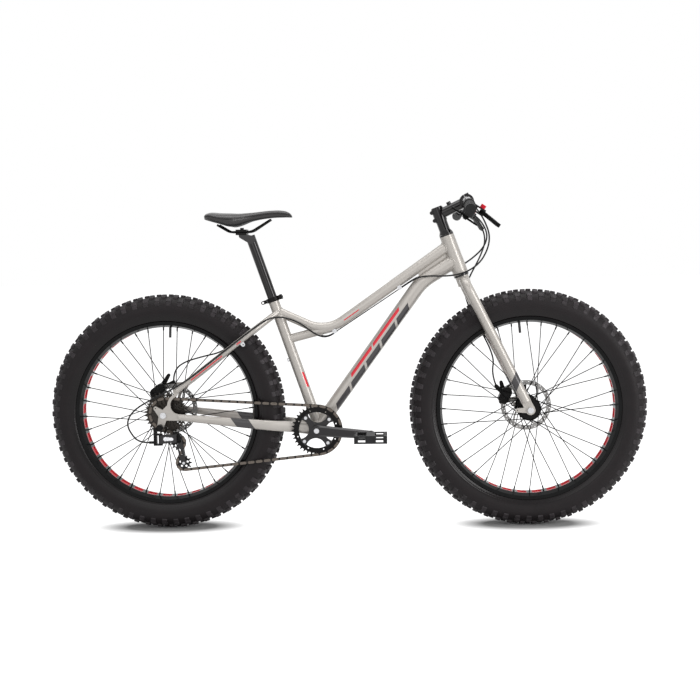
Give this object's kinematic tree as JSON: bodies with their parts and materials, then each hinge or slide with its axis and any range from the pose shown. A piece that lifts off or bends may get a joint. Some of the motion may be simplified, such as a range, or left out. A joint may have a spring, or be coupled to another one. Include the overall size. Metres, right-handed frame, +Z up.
{
  "type": "fat tire bicycle",
  "caption": "Rigid bicycle with very wide tyres, a low-slung bent top tube, disc brakes, one chainring and a cassette with a rear derailleur.",
  "frame": {"origin": "on the ground, halfway between the axles, in the middle plane", "axes": "+X forward, +Y to the rider's left, +Z up"},
  "size_m": [1.884, 0.6822, 1.0471],
  "materials": {
    "frame_paint": "satin",
    "black_metal": "satin",
    "bright_metal": "satin",
    "steel": "bright",
    "rubber": "matt",
    "tyre": "matt",
    "tube_rubber": "satin",
    "cable_cover": "satin",
    "plastic": "satin",
    "saddle_cover": "satin"
  },
  "bodies": {
    "frame": {"head_tube": "frame_paint", "top_tube": "frame_paint", "down_tube": "frame_paint", "seat_tube": "frame_paint", "bb_shell": "frame_paint", "rear_stays": "frame_paint", "rear_dropouts": "frame_paint", "headset_cups": "black_metal", "bottom_bracket": "black_metal", "seat_clamp": "bright_metal", "frame_fittings": "frame_paint", "rear_axle": "bright_metal", "rear_caliper": "black_metal", "frame_cables": "cable_cover", "steering_cables": "cable_cover", "chain": "steel", "derailleur_body": "black_metal"},
    "rear_brake_arm": {"rear_caliper_arm": "black_metal"},
    "seat": {"seat_post": "black_metal", "saddle_clamp": "black_metal", "saddle_rails": "steel", "saddle": "saddle_cover"},
    "seat_lever": {"seat_clamp_lever": "black_metal"},
    "steering": {"fork": "frame_paint", "stem": "black_metal", "handlebar": "black_metal", "grips": "rubber", "lever_brackets": "black_metal", "front_caliper": "black_metal", "front_axle": "bright_metal", "front_brake_cable": "cable_cover"},
    "front_release": {"front_qr_lever": "black_metal"},
    "front_brake_arm": {"front_caliper_arm": "black_metal"},
    "right_lever": {"right_brake_lever": "black_metal"},
    "left_lever": {"left_brake_lever": "black_metal"},
    "thumb_lever": {"shift_thumb_lever": "plastic"},
    "trigger": {"shift_trigger": "plastic"},
    "front_wheel": {"front_tyre": "tyre", "front_rim": "black_metal", "front_inner_tube": "tube_rubber", "front_spokes": "steel", "front_hub": "black_metal", "front_rotor": "steel"},
    "rear_wheel": {"rear_tyre": "tyre", "rear_rim": "black_metal", "rear_inner_tube": "tube_rubber", "rear_spokes": "steel", "rear_hub": "black_metal", "rear_rotor": "steel"},
    "cogs": {"cassette": "steel"},
    "crankset": {"crank_arms": "black_metal", "chainring": "steel", "crank_axles": "bright_metal"},
    "right_pedal": {"right_pedal": "plastic"},
    "left_pedal": {"left_pedal": "plastic"},
    "link": {"derailleur_link": "bright_metal"},
    "knuckle": {"derailleur_knuckle": "black_metal"},
    "cage": {"derailleur_cage": "black_metal"},
    "guide": {"guide_pulley": "plastic"},
    "tension": {"tension_pulley": "plastic"}
  },
  "joints": [
    {"name": "steer", "type": "hinge", "parent": "frame", "child": "steering", "pos_m": [0.36247, 0, 0.79466], "axis": [-0.3371, 0, 0.9415], "range_deg": [-60, 60], "deforming": ["steering_cables"]},
    {"name": "front_spin", "type": "hinge", "parent": "steering", "child": "front_wheel", "pos_m": [0.569, 0, 0.373], "axis": [0, 1, 0], "continuous": true},
    {"name": "rear_spin", "type": "hinge", "parent": "frame", "child": "rear_wheel", "pos_m": [-0.569, 0, 0.373], "axis": [0, 1, 0], "continuous": true},
    {"name": "crank_spin", "type": "hinge", "parent": "frame", "child": "crankset", "pos_m": [-0.09441, 0, 0.316], "axis": [0, 1, 0], "continuous": true, "deforming": ["chain"]},
    {"name": "cassette_spin", "type": "hinge", "parent": "frame", "child": "cogs", "pos_m": [-0.569, 0, 0.373], "axis": [0, 1, 0], "continuous": true},
    {"name": "right_pedal_spin", "type": "hinge", "parent": "crankset", "child": "right_pedal", "pos_m": [0.07518, 0, 0.30414], "axis": [0, 1, 0], "continuous": true},
    {"name": "left_pedal_spin", "type": "hinge", "parent": "crankset", "child": "left_pedal", "pos_m": [-0.264, 0, 0.32786], "axis": [0, 1, 0], "continuous": true},
    {"name": "seat_height", "type": "slide", "parent": "frame", "child": "seat", "axis": [-0.3206, 0, 0.9472], "range_m": [-0.14, 0.06]},
    {"name": "seat_release", "type": "hinge", "parent": "frame", "child": "seat_lever", "pos_m": [-0.20425, 0.0247, 0.73249], "axis": [0.3206, 0, -0.9472], "range_deg": [0, 120]},
    {"name": "front_release", "type": "hinge", "parent": "steering", "child": "front_release", "pos_m": [0.569, 0.0875, 0.373], "axis": [-1, 0, 0], "range_deg": [0, 120]},
    {"name": "right_brake", "type": "hinge", "parent": "steering", "child": "right_lever", "pos_m": [0.41441, -0.19008, 0.98011], "axis": [-0.5398, 0.1327, -0.8313], "range_deg": [0, 22], "stiffness_Nm_per_rad": 2},
    {"name": "left_brake", "type": "hinge", "parent": "steering", "child": "left_lever", "pos_m": [0.41441, 0.19008, 0.98011], "axis": [0.5398, 0.1327, 0.8313], "range_deg": [0, 22], "stiffness_Nm_per_rad": 2},
    {"name": "rear_brake_pull", "type": "hinge", "parent": "frame", "child": "rear_brake_arm", "pos_m": [-0.61456, 0, 0.43131], "axis": [0, 1, 0], "range_deg": [0, 22]},
    {"name": "front_brake_pull", "type": "hinge", "parent": "steering", "child": "front_brake_arm", "pos_m": [0.50249, 0, 0.40544], "axis": [0, -1, 0], "range_deg": [0, 22]},
    {"name": "thumb_shift", "type": "hinge", "parent": "steering", "child": "thumb_lever", "pos_m": [0.38948, -0.16162, 1.00084], "axis": [0.5398, -0.1327, 0.8313], "range_deg": [0, 30], "stiffness_Nm_per_rad": 0.6},
    {"name": "trigger_shift", "type": "hinge", "parent": "steering", "child": "trigger", "pos_m": [0.38948, -0.16162, 1.00084], "axis": [-0.5398, 0.1327, -0.8313], "range_deg": [0, 20], "stiffness_Nm_per_rad": 0.6},
    {"name": "derailleur_shift", "type": "hinge", "parent": "frame", "child": "link", "pos_m": [-0.5764, -0.1075, 0.3], "axis": [0, 0, 1], "range_deg": [-31, 14], "deforming": ["chain"]},
    {"name": "derailleur_turn", "type": "hinge", "parent": "link", "child": "knuckle", "pos_m": [-0.5364, -0.0855, 0.3], "axis": [0, 0, 1], "range_deg": [-14, 31]},
    {"name": "cage_swing", "type": "hinge", "parent": "knuckle", "child": "cage", "pos_m": [-0.5309, 0, 0.3], "axis": [0, 1, 0], "range_deg": [-15, 40], "stiffness_Nm_per_rad": 0.8, "deforming": ["chain"]},
    {"name": "guide_spin", "type": "hinge", "parent": "cage", "child": "guide", "pos_m": [-0.53243, 0, 0.28207], "axis": [0, 1, 0], "continuous": true},
    {"name": "tension_spin", "type": "hinge", "parent": "cage", "child": "tension", "pos_m": [-0.51485, 0, 0.21734], "axis": [0, 1, 0], "continuous": true}
  ],
  "couplings": [
    {"joint": "cassette_spin", "follows": "crank_spin", "ratio": 1.5833},
    {"joint": "tension_spin", "follows": "crank_spin", "ratio": 3.4545},
    {"joint": "guide_spin", "follows": "crank_spin", "ratio": -3.4545},
    {"joint": "rear_brake_pull", "follows": "right_brake", "ratio": 1},
    {"joint": "front_brake_pull", "follows": "left_brake", "ratio": 1},
    {"joint": "derailleur_turn", "follows": "derailleur_shift", "ratio": -1}
  ]
}
